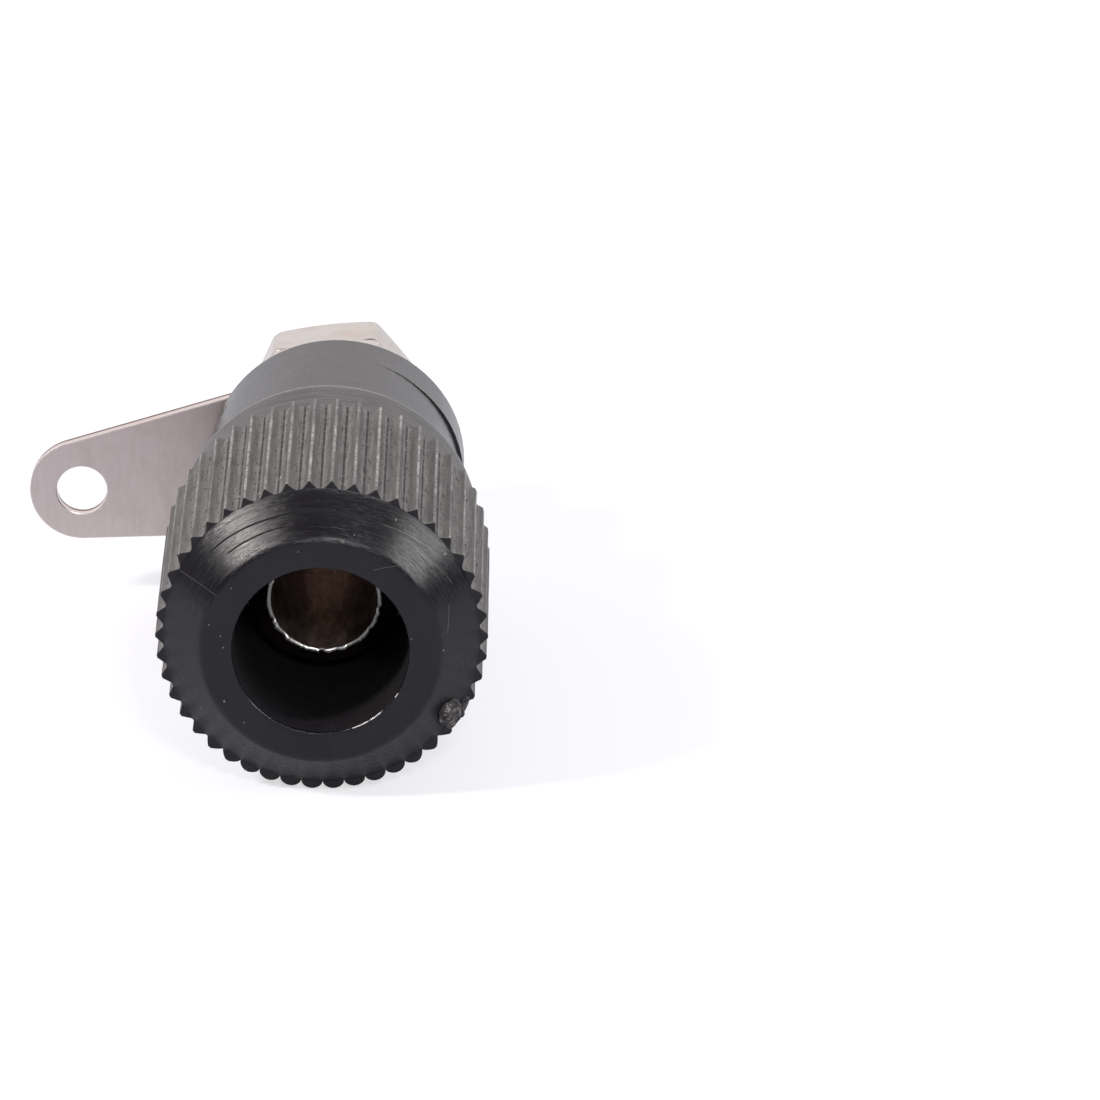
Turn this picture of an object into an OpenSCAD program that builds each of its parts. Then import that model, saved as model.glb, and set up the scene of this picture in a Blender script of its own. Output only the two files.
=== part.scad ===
// Panel binding post: a knurled screw-down knob on a bored metal post, two
// insulating bushings, a flat washer, a solder lug and two hex nuts.
// Millimetres. The axis lies along Y and the knob's mouth faces -Y.
// The origin is on the axis, in the plane where the front bushing meets the panel.

/* [Knob] */
// Length of the knob along the axis
knob_len = 12.8; // [12:0.1:16]
// Diameter over the tips of the knurl teeth
knurl_tip_d = 12.44; // [12.2:0.02:14]
// Number of knurl teeth
tooth_count = 46; // [30:1:60]
// Angle of the first tooth above the horizontal, on the +X side
tooth_start = 7.6; // [0:0.1:12]
// Radial depth of a knurl tooth
tooth_depth = 0.34; // [0.2:0.02:0.4]
// Width of the blunted tip of a tooth
tooth_tip_w = 0.14; // [0.08:0.02:0.2]
// Length of the plain collar behind the knurl
collar_len = 2.6; // [1:0.1:4]
// Diameter of the plain collar
collar_d = 11.5; // [10.8:0.1:11.6]
// Width of the break on the collar's rear edge
collar_edge = 0.12; // [0.05:0.01:0.3]
// Outer diameter of the flat front face
face_d = 8.54; // [7.6:0.02:9]
// Radius that blends the front face into the chamfer
face_round = 0.42; // [0.1:0.02:0.8]
// How far the 45 degree chamfer's outer edge stands above the tooth roots
chamfer_land = 0.05; // [0.02:0.01:0.12]
// Diameter of the mouth that takes the plug's sleeve
mouth_d = 6.6; // [6.3:0.05:7.2]
// Width of the break on the mouth's edge
mouth_edge = 0.08; // [0.03:0.01:0.2]
// Depth of the mouth, down to the threaded insert
mouth_depth = 8; // [7:0.1:8.5]
// Depth of the hollow behind the insert, where a bare wire is clamped
wire_room_depth = 0.8; // [0.5:0.1:1.2]
// Diameter of that hollow
wire_room_d = 8.8; // [8.6:0.1:9.4]
// Diameter of the moulding gate's stub on the chamfer
gate_d = 1; // [0.5:0.1:1.4]
// Height of the gate's stub above the chamfer
gate_h = 0.25; // [0.1:0.05:0.4]
// Angle of the gate's stub below the horizontal, on the +X side
gate_angle = 32; // [0:1:90]

/* [Threaded insert] */
// Outer diameter of the brass insert in the knob
insert_d = 8.2; // [7.6:0.1:8.4]
// Width of each holding groove round the insert
groove_w = 0.6; // [0.4:0.05:0.9]
// Depth of each holding groove
groove_depth = 0.3; // [0.15:0.05:0.4]
// Number of holding grooves
groove_count = 2; // [1:1:3]

/* [Post] */
// Major diameter of the post's thread
post_d = 6; // [5.8:0.05:6.1]
// Diameter of the bore that takes the plug
plug_bore_d = 4; // [3.6:0.1:4.2]
// Depth of that bore, without the drill's point
plug_bore_depth = 10.2; // [8:0.1:10.4]
// Width of the break at the bore's mouth
bore_edge = 0.06; // [0.02:0.01:0.1]
// Distance of the post's front end behind the knob's face
post_recess = 5.1; // [4:0.1:6]
// Outer diameter of the thin rim that the thread's lead-in leaves
rim_d = 4.4; // [4.3:0.02:4.6]
// Diameter of the cross hole for a bare wire
wire_hole_d = 1.6; // [1:0.1:1.8]
// Distance of the cross hole's axis in front of the front bushing
wire_hole_ahead = 1.9; // [1.7:0.1:2.2]
// Diameter of the thread's run-out groove
runout_d = 5.2; // [5:0.1:5.6]
// Length of the thread's run-out groove
runout_len = 0.6; // [0.4:0.1:0.8]
// Diameter of the flange that seats in the front bushing
flange_d = 8; // [7.6:0.1:8.2]
// Distance across the two flats of the flange
flange_flats = 7; // [6.6:0.1:7.4]
// Thickness of the flange
flange_t = 1.2; // [0.8:0.1:1.6]
// Depth of the panel-side floor that the post's barrel stops at
barrel_floor = 0.8; // [0.6:0.1:1.2]
// Diameter of the rear stud
stud_d = 4; // [3.8:0.05:4]
// Length of the stud behind the panel plane
stud_len = 11.2; // [10:0.1:16]
// Width of the chamfer on the stud's end
stud_chamfer = 0.4; // [0.2:0.1:0.8]
// Pitch of the thread on the post
post_pitch = 1; // [0.8:0.1:1]
// Depth of the thread on the post
post_thread_depth = 0.5; // [0.3:0.05:0.55]
// Pitch of the thread on the stud
stud_pitch = 0.7; // [0.6:0.05:0.8]
// Depth of the thread on the stud
stud_thread_depth = 0.42; // [0.2:0.02:0.45]

/* [Bushings] */
// Outer diameter of both insulating bushings
bushing_d = 10; // [9.6:0.1:11]
// Thickness of the front bushing
front_bushing_t = 5; // [4.8:0.1:6]
// Thickness of the rear bushing
rear_bushing_t = 2.1; // [1.9:0.1:3]
// Width of the break on the bushings' outer edges
bushing_edge = 0.1; // [0.05:0.01:0.3]
// Width of the break on the edges that meet at the seam
seam_edge = 0.02; // [0.01:0.01:0.1]
// Diameter of the boss that centres the front bushing in the panel hole
boss_d = 7; // [6:0.1:7.6]
// Length of that boss
boss_len = 1.2; // [0.8:0.1:1.3]
// Sideways play of the boss in the rear bushing's recess
boss_play = 0.2; // [0.18:0.01:0.3]
// Space between the boss's end and the recess's floor
boss_end_gap = 0.1; // [0.05:0.05:0.2]
// How far the rear bushing sits off the axis, within its play
rear_shift = 0.16; // [0:0.01:0.16]
// Direction of that shift, as an angle below the horizontal on the +X side
rear_shift_angle = 22; // [0:1:90]

/* [Washer, lug and nuts] */
// Outer diameter of the flat washer
washer_d = 8; // [7:0.1:9]
// Thickness of the flat washer
washer_t = 0.5; // [0.3:0.05:0.8]
// Thickness of the solder lug's sheet
lug_t = 0.5; // [0.3:0.05:0.8]
// Distance from the stud's axis to the lug's wire hole
lug_reach = 10.15; // [8.5:0.05:14]
// Radius of the lug's outline round the stud
lug_eye_r = 3.4; // [2.8:0.1:4]
// Radius of the lug's outline round the wire hole
lug_tip_r = 2.05; // [1.6:0.05:2.4]
// Diameter of the lug's wire hole
lug_hole_d = 2; // [1.2:0.1:2.4]
// Angle of the lug below the horizontal, on the -X side
lug_droop = 9.3; // [0:0.1:45]
// Distance across the flats of a nut
nut_af = 7; // [6.6:0.1:8]
// Thickness of a nut
nut_t = 2.35; // [2:0.05:2.8]
// Turn of the nuts' upper flat towards -X
nut_turn = 7; // [-30:1:30]

/* [Clearances] */
// Space between the closed knob and the front bushing
seat_gap = 0.05; // [0.02:0.01:0.1]
// Radial space between the post's thread and the insert
thread_gap = 0.05; // [0.02:0.01:0.08]
// Space all round between the insert and the knob
insert_gap = 0.03; // [0.02:0.01:0.05]
// Radial space round the post's flange and barrel in the front bushing
barrel_gap = 0.08; // [0.05:0.01:0.15]
// Radial space round the stud in the bushings, the washer and the lug
stud_gap = 0.2; // [0.18:0.01:0.3]
// Radial space between the stud and the nuts' thread
nut_gap = 0.05; // [0.02:0.01:0.1]

/* [Hidden] */
$fn = 96;
eps = 0.01;
point_half_angle = 59;
black = [0.09, 0.09, 0.10];
nickel = [0.74, 0.71, 0.68];
brass = [0.76, 0.62, 0.34];

// Places along the axis
front_bushing_y = -front_bushing_t;
knob_rear_y = front_bushing_y - seat_gap;
face_y = knob_rear_y - knob_len;
post_front_y = face_y + post_recess;
insert_front_y = face_y + mouth_depth;
insert_rear_y = knob_rear_y - wire_room_depth;
insert_len = insert_rear_y - insert_front_y;
wire_hole_y = front_bushing_y - wire_hole_ahead;
flange_rear_y = front_bushing_y + flange_t;
washer_y = rear_bushing_t;
lug_y = washer_y + washer_t;
clamp_nut_y = lug_y + lug_t;
lock_nut_y = clamp_nut_y + nut_t;

// Radii of the knob's turned profile
knurl_tip_r = knurl_tip_d / 2;
knurl_root_r = knurl_tip_r - tooth_depth;
chamfer_r = knurl_root_r + chamfer_land;
blend_r = face_d / 2 + face_round * sin(45);
blend_depth = face_round * (1 - cos(45));
chamfer_depth = blend_depth + chamfer_r - blend_r;
knurl_len = knob_len - collar_len - chamfer_depth;

// Turns what is drawn along Z so that it lies along Y, and starts it at y.
module along_y(y = 0) {
    translate([0, y, 0]) rotate([-90, 0, 0]) children();
}

// A round bar along Y from y0 to y1.
module bar(d, y0, y1) {
    along_y(y0) cylinder(d = d, h = y1 - y0);
}

// A round bar along Y with a 45 degree break on each end.
module broken_bar(d, y0, y1, front_break, rear_break) {
    r = d / 2;
    length = y1 - y0;
    along_y(y0) rotate_extrude() polygon([
        [0, 0], [r - front_break, 0], [r, front_break],
        [r, length - rear_break], [r - rear_break, length], [0, length]]);
}

// ---- Knob ----

// Points of one tooth: its root, then its rounded tip.
function tooth(a, step) =
    let (half_tip = tooth_tip_w / 2 / knurl_tip_r * 180 / PI,
         shoulder_r = knurl_tip_r - tooth_tip_w / 5)
    [for (p = [[knurl_root_r, -step / 2], [shoulder_r, -half_tip],
               [knurl_tip_r, 0], [shoulder_r, half_tip]])
        [p[0] * cos(a + p[1]), p[0] * sin(a + p[1])]];

function knurl_outline() =
    let (step = 360 / tooth_count)
    [for (i = [0 : tooth_count - 1]) each tooth(i * step, step)];

module knurl() {
    along_y(face_y + chamfer_depth) linear_extrude(height = knurl_len)
        rotate(-tooth_start) polygon(knurl_outline());
}

// The knob's turned core: front face, blend, chamfer and collar.
module knob_core() {
    steps = 6;
    blend = [for (i = [0 : steps]) let (t = 45 * i / steps)
        [face_d / 2 + face_round * sin(t), face_round * (1 - cos(t))]];
    collar_r = collar_d / 2;
    along_y(face_y) rotate_extrude() polygon(concat(
        [[0, 0]], blend,
        [[chamfer_r, chamfer_depth], [collar_r, chamfer_depth + eps],
         [collar_r, knob_len - collar_edge], [collar_r - collar_edge, knob_len],
         [0, knob_len]]));
}

// What is left of the mould's gate, square on the chamfer.
module gate_stub() {
    seat_r = (blend_r + chamfer_r * 3) / 4;
    seat_y = face_y + chamfer_depth - (chamfer_r - seat_r);
    rotate([0, gate_angle, 0]) translate([seat_r, seat_y, 0]) rotate([0, 0, -45])
        rotate([0, 90, 0]) translate([0, 0, -gate_d / 2])
            cylinder(d = gate_d, h = gate_d / 2 + gate_h, $fn = 32);
}

// The insert's outer form, grown by g all round for the seat in the knob.
module insert_form(g = 0) {
    pitch = insert_len / (groove_count + 1);
    r = insert_d / 2 + g;
    groove_r = r - groove_depth;
    half_w = groove_w / 2 - g;
    grooves = [for (i = [1 : groove_count]) each
        [[r, i * pitch - half_w], [groove_r, i * pitch - half_w],
         [groove_r, i * pitch + half_w], [r, i * pitch + half_w]]];
    along_y(insert_front_y) rotate_extrude()
        polygon(concat([[0, -g], [r, -g]], grooves, [[r, insert_len + g], [0, insert_len + g]]));
}

module knob() {
    color(black) difference() {
        union() {
            knob_core();
            knurl();
            gate_stub();
        }
        bar(mouth_d, face_y - eps, insert_front_y);
        along_y(face_y - eps) cylinder(r1 = mouth_d / 2 + mouth_edge + eps, r2 = mouth_d / 2,
                                       h = mouth_edge + eps);
        insert_form(insert_gap);
        bar(wire_room_d, insert_rear_y, knob_rear_y + eps);
    }
}

module knob_insert() {
    color(brass) difference() {
        insert_form();
        bar(post_d + 2 * thread_gap, insert_front_y - eps, insert_rear_y + eps);
    }
}

// ---- Post ----

// A thread's relief as plain 60 degree V rings from y0 to y1, cut into a bar of diameter d.
module thread_rings(d, pitch, depth, y0, y1) {
    half_w = depth * tan(30);
    outer_r = d / 2 + eps;
    outer_w = half_w + eps * tan(30);
    for (i = [0 : floor((y1 - y0 - pitch) / pitch)])
        along_y(y0 + (i + 0.5) * pitch) rotate_extrude() polygon([
            [outer_r - depth - eps, 0], [outer_r, outer_w], [outer_r, -outer_w]]);
}

// Flange with two flats, grown by g for its pocket in the bushing.
module flange(y0, y1, g = 0) {
    intersection() {
        bar(flange_d + 2 * g, y0, y1);
        translate([-flange_d, y0 - eps, -flange_flats / 2 - g])
            cube([2 * flange_d, y1 - y0 + 2 * eps, flange_flats + 2 * g]);
    }
}

module post() {
    lead_in = (post_d - rim_d) / 2;
    bore_r = plug_bore_d / 2;
    bore_end_y = post_front_y + plug_bore_depth;
    color(nickel) difference() {
        union() {
            broken_bar(post_d, post_front_y, -barrel_floor, lead_in, bore_edge);
            flange(front_bushing_y, flange_rear_y);
            broken_bar(stud_d, -barrel_floor - 1, stud_len, 0, stud_chamfer);
        }
        // bore, with its drill point and the break at its mouth
        bar(plug_bore_d, post_front_y - eps, bore_end_y);
        along_y(bore_end_y) cylinder(r1 = bore_r, r2 = 0, h = bore_r / tan(point_half_angle));
        along_y(post_front_y - eps) cylinder(r1 = bore_r + bore_edge + eps, r2 = bore_r,
                                             h = bore_edge + eps);
        // cross hole for a bare wire
        translate([-post_d, wire_hole_y, 0]) rotate([0, 90, 0])
            cylinder(d = wire_hole_d, h = 2 * post_d);
        // threads on the post and on the stud
        thread_rings(post_d, post_pitch, post_thread_depth, post_front_y + lead_in,
                     wire_hole_y - wire_hole_d / 2 - eps);
        thread_rings(stud_d, stud_pitch, stud_thread_depth, clamp_nut_y, stud_len - stud_chamfer);
        // run-out of the thread in front of the flange
        difference() {
            bar(post_d + 1, front_bushing_y - runout_len, front_bushing_y);
            bar(runout_d, front_bushing_y - runout_len - eps, front_bushing_y + eps);
        }
    }
}

// ---- Bushings ----

module front_bushing() {
    color(black) difference() {
        union() {
            broken_bar(bushing_d, front_bushing_y, 0, bushing_edge, seam_edge);
            broken_bar(boss_d, -1, boss_len, 0, bushing_edge);
        }
        flange(front_bushing_y - eps, flange_rear_y, barrel_gap);
        bar(post_d + 2 * barrel_gap, front_bushing_y, -barrel_floor);
        bar(stud_d + 2 * stud_gap, -barrel_floor - eps, boss_len + eps);
    }
}

module rear_bushing() {
    shift = [rear_shift * cos(rear_shift_angle), 0, -rear_shift * sin(rear_shift_angle)];
    color(black) translate(shift) difference() {
        broken_bar(bushing_d, 0, rear_bushing_t, seam_edge, bushing_edge);
        bar(boss_d + 2 * boss_play, -eps, boss_len + boss_end_gap);
        bar(stud_d + 2 * stud_gap, -eps, rear_bushing_t + eps);
    }
}

// ---- Washer, lug and nuts ----

module flat_washer() {
    color(nickel) difference() {
        bar(washer_d, washer_y, lug_y);
        bar(stud_d + 2 * stud_gap, washer_y - eps, lug_y + eps);
    }
}

// Points of an arc round [x, 0] from angle a0 to a1.
function arc(x, r, a0, a1, steps = 40) =
    [for (i = [0 : steps]) let (a = a0 + (a1 - a0) * i / steps) [x + r * cos(a), r * sin(a)]];

// Outline of the lug: two round ends joined by their common tangents.
module lug_outline() {
    lean = acos((lug_eye_r - lug_tip_r) / lug_reach);
    polygon(concat(arc(0, lug_eye_r, lean, 360 - lean), arc(lug_reach, lug_tip_r, -lean, lean)));
}

module solder_lug() {
    color(nickel) along_y(lug_y) rotate([0, 0, 180 - lug_droop]) difference() {
        linear_extrude(height = lug_t) lug_outline();
        translate([0, 0, -eps]) cylinder(d = stud_d + 2 * stud_gap, h = lug_t + 2 * eps);
        translate([lug_reach, 0, -eps]) cylinder(d = lug_hole_d, h = lug_t + 2 * eps);
    }
}

// A hex nut whose corners are chamfered on both faces.
module nut(y) {
    corner_r = nut_af / sqrt(3);
    face_r = nut_af / 2 * 0.98;
    drop = (corner_r - face_r) * tan(30);
    along_y(y) rotate([0, 0, -nut_turn]) difference() {
        intersection() {
            cylinder(r = corner_r, h = nut_t, $fn = 6);
            rotate_extrude() polygon([[0, 0], [face_r, 0], [corner_r, drop],
                [corner_r, nut_t - drop], [face_r, nut_t], [0, nut_t]]);
        }
        translate([0, 0, -eps]) cylinder(d = stud_d + 2 * nut_gap, h = nut_t + 2 * eps);
    }
}

module clamp_nut() {
    color(nickel) nut(clamp_nut_y);
}

module lock_nut() {
    color(nickel) nut(lock_nut_y);
}

knob();
knob_insert();
post();
front_bushing();
rear_bushing();
flat_washer();
solder_lug();
clamp_nut();
lock_nut();
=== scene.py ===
"""Looks of the binding post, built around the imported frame.

Metres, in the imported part's own frame: the axis lies along Y, the knob's mouth faces -Y, and the panel plane
is y = 0. Mesh code works in millimetres, mostly in turned profiles, and `mesh_piece` scales it to metres.
"""

import math

import bmesh
import bpy
import numpy as np
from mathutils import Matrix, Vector, geometry


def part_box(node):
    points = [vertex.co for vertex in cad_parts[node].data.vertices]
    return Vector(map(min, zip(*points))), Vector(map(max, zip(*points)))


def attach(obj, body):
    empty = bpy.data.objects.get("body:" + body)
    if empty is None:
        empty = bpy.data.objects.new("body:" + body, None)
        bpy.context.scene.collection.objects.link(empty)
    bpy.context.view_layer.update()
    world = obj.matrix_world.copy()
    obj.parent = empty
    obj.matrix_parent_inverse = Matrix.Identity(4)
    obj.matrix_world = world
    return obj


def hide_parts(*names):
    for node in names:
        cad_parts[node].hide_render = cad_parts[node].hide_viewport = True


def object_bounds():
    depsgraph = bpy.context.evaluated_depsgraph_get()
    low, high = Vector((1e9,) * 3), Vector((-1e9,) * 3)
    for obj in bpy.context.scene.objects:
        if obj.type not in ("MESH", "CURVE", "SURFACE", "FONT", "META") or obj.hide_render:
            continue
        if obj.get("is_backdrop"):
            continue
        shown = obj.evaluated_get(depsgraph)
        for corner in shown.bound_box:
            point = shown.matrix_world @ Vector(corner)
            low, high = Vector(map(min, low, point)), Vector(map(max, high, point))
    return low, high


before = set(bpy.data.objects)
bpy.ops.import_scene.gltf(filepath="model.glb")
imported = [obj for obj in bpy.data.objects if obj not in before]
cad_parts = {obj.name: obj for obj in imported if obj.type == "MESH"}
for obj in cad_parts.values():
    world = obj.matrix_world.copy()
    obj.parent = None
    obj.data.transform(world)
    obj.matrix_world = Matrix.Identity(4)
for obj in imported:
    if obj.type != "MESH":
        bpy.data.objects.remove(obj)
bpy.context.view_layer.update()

MM = 0.001
TURN = 2 * math.pi

# ---------------------------------------------------------------- sizes, mm
FACE_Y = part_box("knob")[0].y / MM
KNOB_REAR_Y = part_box("knob")[1].y / MM
TIP_R = 6.22
TEETH = 46
FIRST_TOOTH = math.radians(7.6)
TOOTH_DEPTH = 0.34
ROOT_R = TIP_R - TOOTH_DEPTH
CHAMFER_R = ROOT_R + 0.05
COLLAR_R = 5.75
COLLAR_LEN = 2.6
COLLAR_ROUND = 0.12
FACE_R = 4.27
FACE_ROUND = 0.42
MOUTH_R = 3.3
MOUTH_EDGE = 0.08
REAR_ROOM_R = 4.4
BLEND_R = FACE_R + FACE_ROUND * math.sin(math.pi / 4)
BLEND_DEPTH = FACE_ROUND * (1 - math.cos(math.pi / 4))
CHAMFER_Y = FACE_Y + BLEND_DEPTH + CHAMFER_R - BLEND_R
KNURL_REAR_Y = KNOB_REAR_Y - COLLAR_LEN
GATE_ANGLE = math.radians(-32)

INSERT_FRONT_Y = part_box("knob_insert")[0].y / MM
INSERT_REAR_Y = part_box("knob_insert")[1].y / MM
INSERT_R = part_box("knob_insert")[1].x / MM
POST_FRONT_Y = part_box("post")[0].y / MM
STUD_END_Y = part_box("post")[1].y / MM
BORE_R = 2.0
BORE_DEPTH = 10.2
POST_RIM_R = 2.14
POST_THREAD_R = 3.0
POST_PITCH = 1.0
WIRE_HOLE_R = 0.8
STUD_R = 2.0
STUD_PITCH = 0.7
STUD_THREAD_DEPTH = 0.42
BUSHING_FRONT_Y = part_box("front_bushing")[0].y / MM
BUSHING_REAR_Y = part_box("rear_bushing")[1].y / MM
WIRE_HOLE_Y = BUSHING_FRONT_Y - 1.9
LUG_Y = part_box("solder_lug")[0].y / MM
LUG_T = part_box("solder_lug")[1].y / MM - LUG_Y


# ---------------------------------------------------------------- mesh helpers
def smooth(a, b, x):
    """0 on a's side, 1 on b's side, and smooth between them."""
    t = np.clip((x - a) / (b - a), 0, 1)
    return t * t * (3 - 2 * t)


def apart(theta, degrees):
    """Angle between each theta and a direction in degrees, either way round."""
    return np.abs((theta - math.radians(degrees) + math.pi) % TURN - math.pi)


def waves(seed, *coords, count=10, low=1.0, high=4.0):
    """Smooth, seeded, irregular waves over the given coordinates, mostly within -1..1."""
    rng = np.random.default_rng(seed)
    total = 0
    for _ in range(count):
        phase = rng.uniform(0, TURN)
        k = rng.normal(size=len(coords))
        k *= rng.uniform(low, high) / np.linalg.norm(k)
        total = total + np.sin(sum(c * f for c, f in zip(coords, k)) + phase)
    return total / count * 1.6


def face_outwards(mesh):
    """Turns the faces of a closed mesh so that they all point outwards."""
    bm = bmesh.new()
    bm.from_mesh(mesh)
    bmesh.ops.recalc_face_normals(bm, faces=bm.faces)
    bm.to_mesh(mesh)
    bm.free()


def mesh_piece(name, points, faces, body, materials, sharp=35, index=None):
    """A new piece that rides on a body. Points are in millimetres, and edges over `sharp` degrees stay sharp.
    `index` gives each face the number of its material."""
    mesh = bpy.data.meshes.new(name)
    mesh.from_pydata((np.asarray(points) * MM).tolist(), [], faces)
    for m in materials:
        mesh.materials.append(m)
    if index is not None:
        mesh.polygons.foreach_set("material_index", np.asarray(index, np.int32))
    mesh.polygons.foreach_set("use_smooth", np.ones(len(faces), bool))
    mesh.set_sharp_from_angle(angle=math.radians(sharp))
    mesh.update()
    obj = bpy.data.objects.new(name, mesh)
    bpy.context.scene.collection.objects.link(obj)
    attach(obj, body)
    return obj


def even(n):
    """n angles spread evenly over one turn."""
    return np.arange(n) / n * TURN


def turned(rings, theta, closed=False):
    """Points and faces of rings round the Y axis, and the number of the ring before each face.
    A ring is (radius, y), each a number or one per angle in theta. A ring of radius 0 becomes a single point.
    `closed` joins the last ring to the first."""
    n = len(theta)
    points, rows = [], []
    for r, y in rings:
        start = len(points)
        if np.isscalar(r) and r == 0:
            points.append((0.0, float(np.mean(y)), 0.0))
            rows.append([start] * n)
            continue
        r, y = np.broadcast_to(r, n), np.broadcast_to(y, n)
        points += list(zip(r * np.cos(theta), y, r * np.sin(theta)))
        rows.append(range(start, start + n))
    faces, owner = [], []
    pairs = list(zip(rows, rows[1:])) + ([(rows[-1], rows[0])] if closed else [])
    for k, (a, b) in enumerate(pairs):
        for i in range(n):
            j = (i + 1) % n
            face = [a[i], b[i], b[j], a[j]]
            faces.append([v for m, v in enumerate(face) if v != face[m - 1]])
            owner.append(k)
    return points, faces, np.array(owner)


def arc_ring(r, y, radius, a0, a1, steps):
    """Rings of a rounded edge in the (radius, y) plane, round a centre at (r, y), without the first."""
    angles = np.linspace(math.radians(a0), math.radians(a1), steps + 1)[1:]
    return [(r + radius * math.cos(a), y + radius * math.sin(a)) for a in angles]


def line(a, b, steps):
    """Rings on a straight run from a to b, without the first."""
    a, b = np.array(a), np.array(b)
    return [tuple(a + (b - a) * t) for t in np.linspace(0, 1, steps + 1)[1:]]


def thread(major, pitch, y, theta, depth):
    """Radius of a right-hand V thread with a narrow flat crest and root."""
    v = np.abs((y / pitch + theta / TURN) % 1.0 - 0.5) * 2
    return major - depth * np.clip((v - 0.12) / 0.7, 0, 1)


# ---------------------------------------------------------------- node helpers
def is_socket(value):
    return hasattr(value, "is_output")


class Nodes:
    """A node tree, with short names for the nodes that are used here."""

    def __init__(self, tree):
        self.tree = tree

    def node(self, kind, **props):
        made = self.tree.nodes.new(kind)
        for key, value in props.items():
            setattr(made, key, value)
        return made

    def link(self, value, socket):
        """Links an output to a socket, or sets the socket to a constant."""
        if is_socket(value):
            self.tree.links.new(value, socket)
        else:
            socket.default_value = value

    def math(self, op, *args):
        made = self.node("ShaderNodeMath", operation=op)
        for socket, value in zip(made.inputs, args):
            self.link(value, socket)
        return made.outputs[0]

    def times(self, a, b):
        return self.math("MULTIPLY", a, b)

    def vector(self, x, y, z):
        made = self.node("ShaderNodeCombineXYZ")
        for socket, value in zip(made.inputs, (x, y, z)):
            self.link(value, socket)
        return made.outputs[0]

    def band(self, value, a, b, low=0.0, high=1.0):
        """low at a and high at b, smooth between them."""
        made = self.node("ShaderNodeMapRange", interpolation_type="SMOOTHSTEP")
        self.link(value, made.inputs["Value"])
        for name, number in zip(("From Min", "From Max", "To Min", "To Max"), (a, b, low, high)):
            made.inputs[name].default_value = number
        return made.outputs["Result"]

    def mix(self, factor, a, b):
        """Colour a where the factor is 0 and b where it is 1."""
        made = self.node("ShaderNodeMix", data_type="RGBA")
        self.link(factor, made.inputs["Factor"])
        self.link(a if is_socket(a) else (*a, 1), made.inputs["A"])
        self.link(b if is_socket(b) else (*b, 1), made.inputs["B"])
        return made.outputs["Result"]


class Shader(Nodes):
    """A node material with a Principled shader. Its coordinates `at`, `x`, `y` and `z` are in mm."""

    def __init__(self, name, **constants):
        self.material = bpy.data.materials.new(name)
        self.material.use_nodes = True
        super().__init__(self.material.node_tree)
        self.bsdf = self.tree.nodes["Principled BSDF"]
        for key, value in constants.items():
            self.bsdf.inputs[key.replace("_", " ")].default_value = value
        coords = self.node("ShaderNodeTexCoord")
        scale = self.node("ShaderNodeVectorMath", operation="SCALE")
        self.link(coords.outputs["Object"], scale.inputs[0])
        scale.inputs["Scale"].default_value = 1 / MM
        self.at = scale.outputs["Vector"]
        split = self.node("ShaderNodeSeparateXYZ")
        self.link(self.at, split.inputs[0])
        self.x, self.y, self.z = split.outputs

    def polar(self):
        """Angle round the axis in radians, and distance from it in mm."""
        squares = self.math("ADD", self.times(self.x, self.x), self.times(self.z, self.z))
        return self.math("ARCTAN2", self.z, self.x), self.math("SQRT", squares)

    def stretch(self, sx, sy, sz):
        """Coordinates in mm, multiplied along each axis."""
        made = self.node("ShaderNodeVectorMath", operation="MULTIPLY")
        self.link(self.at, made.inputs[0])
        made.inputs[1].default_value = (sx, sy, sz)
        return made.outputs[0]

    def noise(self, vector, scale, detail=4.0, roughness=0.6):
        made = self.node("ShaderNodeTexNoise")
        self.link(vector, made.inputs["Vector"])
        for name, number in zip(("Scale", "Detail", "Roughness"), (scale, detail, roughness)):
            made.inputs[name].default_value = number
        return made.outputs["Fac"]

    def specks(self, vector, scale, size):
        """1 inside a few small irregular dots, 0 elsewhere."""
        made = self.node("ShaderNodeTexVoronoi")
        self.link(vector, made.inputs["Vector"])
        made.inputs["Scale"].default_value = scale
        chosen = self.node("ShaderNodeSeparateColor")
        self.link(made.outputs["Color"], chosen.inputs[0])
        near = self.band(made.outputs["Distance"], size, size * 0.6)
        return self.times(near, self.band(chosen.outputs[0], 0.16, 0.12))

    def window(self, value, a, b, soft):
        """1 between a and b, 0 outside, with soft ends."""
        return self.times(self.band(value, a - soft, a), self.band(value, b + soft, b))

    def scratch(self, angle, r, start, end, width):
        """1 on a hairline between two points, each an angle in degrees and a radius in mm."""
        (a0, r0), (a1, r1) = sorted([start, end])
        a0, a1 = math.radians(a0), math.radians(a1)
        slope = (r1 - r0) / (a1 - a0)
        off = self.math("SUBTRACT", r, self.math("MULTIPLY_ADD", angle, slope, r0 - slope * a0))
        wide = width * math.hypot(1, 2 * slope / (r0 + r1))
        near = self.band(self.math("ABSOLUTE", off), wide, wide * 0.4)
        return self.times(near, self.window(angle, a0, a1, 0.15 * (a1 - a0)))

    def color(self, value):
        self.link(value if is_socket(value) else (*value, 1), self.bsdf.inputs["Base Color"])

    def roughness(self, value):
        self.link(value, self.bsdf.inputs["Roughness"])

    def bump(self, height, distance, strength=1.0):
        """Adds a bump of that height, as a share of a distance in mm, to what is there."""
        made = self.node("ShaderNodeBump")
        made.inputs["Strength"].default_value = strength
        made.inputs["Distance"].default_value = distance * MM
        self.link(height, made.inputs["Height"])
        normal = self.bsdf.inputs["Normal"]
        if normal.is_linked:
            self.link(normal.links[0].from_socket, made.inputs["Normal"])
        self.link(made.outputs[0], normal)


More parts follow.
